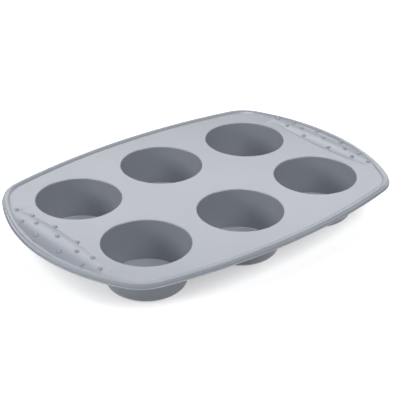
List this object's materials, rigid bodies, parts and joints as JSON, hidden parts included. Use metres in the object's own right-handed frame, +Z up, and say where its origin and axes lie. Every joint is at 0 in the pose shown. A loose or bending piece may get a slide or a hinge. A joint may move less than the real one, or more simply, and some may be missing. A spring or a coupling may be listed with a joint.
{
  "type": "silicone muffin pan",
  "caption": "One-piece flexible baking pan with round tapered cups sunk in a flat deck, a rounded rim bead, and crowned, bumped grips at its short ends.",
  "frame": {"origin": "middle of the pan, in the plane of the cups' flat bottoms", "axes": "+X along the pan's length towards one grip, +Z up out of the cups' mouths"},
  "size_m": [0.3216, 0.2226, 0.0378],
  "materials": {
    "silicone": "satin"
  },
  "bodies": {
    "root": {"muffin_pan": "silicone"}
  },
  "joints": []
}
